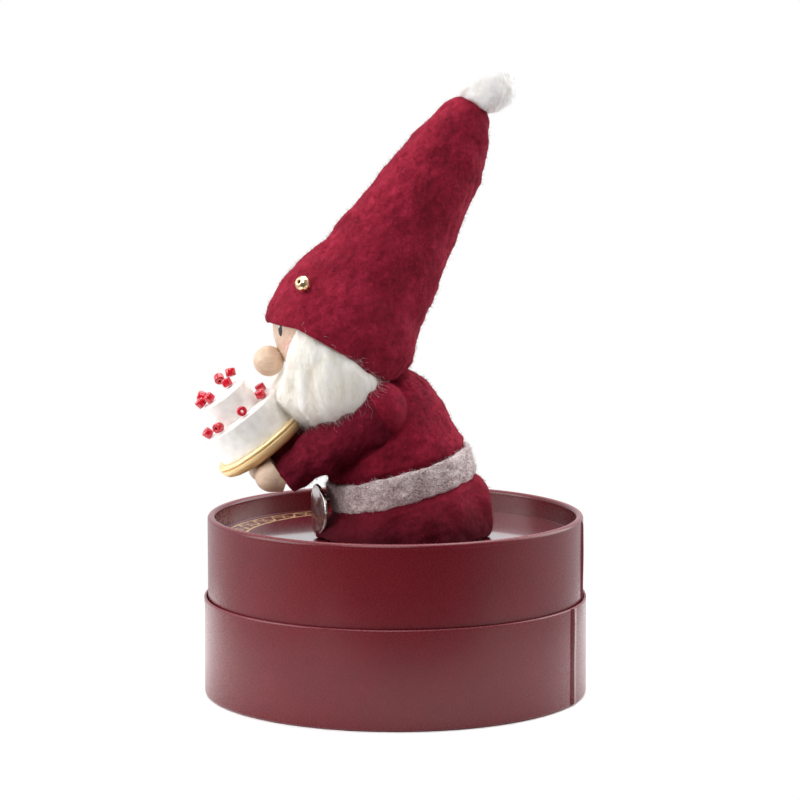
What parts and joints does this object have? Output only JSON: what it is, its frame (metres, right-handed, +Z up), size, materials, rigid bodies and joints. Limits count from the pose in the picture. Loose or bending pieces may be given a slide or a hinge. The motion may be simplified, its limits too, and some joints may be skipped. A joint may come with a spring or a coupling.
{
  "type": "tomte gnome figurine",
  "caption": "Felt and turned-wood tomte gnome with a tall pompom hat and wool beard, carrying a tiered cake on a plate and standing in the recessed top of a round two-part box.",
  "frame": {"origin": "centre of the round box's floor, at the level it stands on", "axes": "+Z up the box's axis; the figure faces -Y and its left side is +X"},
  "size_m": [0.11, 0.1121, 0.1828],
  "materials": {
    "box_paper": "satin printed paper",
    "box_board": "grey tube board",
    "disc_laminate": "gloss laminated",
    "coat_felt": "wool felt",
    "hat_felt": "wool felt",
    "sleeve_felt": "wool felt",
    "belt_felt": "heathered wool felt",
    "beard_wool": "carded wool",
    "pompom_wool": "teased wool",
    "wadding": "loose wadding",
    "turned_wood": "turned and sanded",
    "core_wood": "turned",
    "buckle_metal": "polished",
    "bead_gold": "bright",
    "plate_gilding": "gold paint, rubbed",
    "cake_paint": "white gloss paint",
    "berry_glass": "opaque gloss"
  },
  "bodies": {
    "outer_box": {"outer_sleeve_board": "box_board", "outer_sleeve_paper": "box_paper", "base_disc": "box_board"},
    "inner_box": {"inner_tube_board": "box_paper", "inner_tube_paper": "box_paper", "top_disc": "disc_laminate"},
    "figure": {"coat": "coat_felt", "body_core": "core_wood", "belt": "belt_felt", "buckle_plate": "buckle_metal", "buckle_shank": "buckle_metal", "buckle_prong": "buckle_metal", "neck_dowel": "core_wood", "head": "turned_wood", "nose": "turned_wood", "nose_pin": "core_wood", "hat": "hat_felt", "hat_wadding": "wadding", "pompom": "pompom_wool", "hat_bead": "bead_gold", "sleeve_left": "sleeve_felt", "sleeve_right": "sleeve_felt", "arm_core_left": "core_wood", "arm_core_right": "core_wood", "hand_left": "turned_wood", "hand_right": "turned_wood", "plate": "plate_gilding", "cake_lower_tier": "cake_paint", "cake_upper_tier": "cake_paint", "berries_top": "berry_glass", "berries_ledge": "berry_glass", "beard": "beard_wool"}
  },
  "joints": [
    {"name": "box_lift", "type": "slide", "parent": "outer_box", "child": "inner_box", "axis": [0, 0, 1], "range_m": [0, 0.06]},
    {"name": "figure_lift", "type": "slide", "parent": "inner_box", "child": "figure", "axis": [0, 0, 1], "range_m": [0, 0.03]}
  ]
}
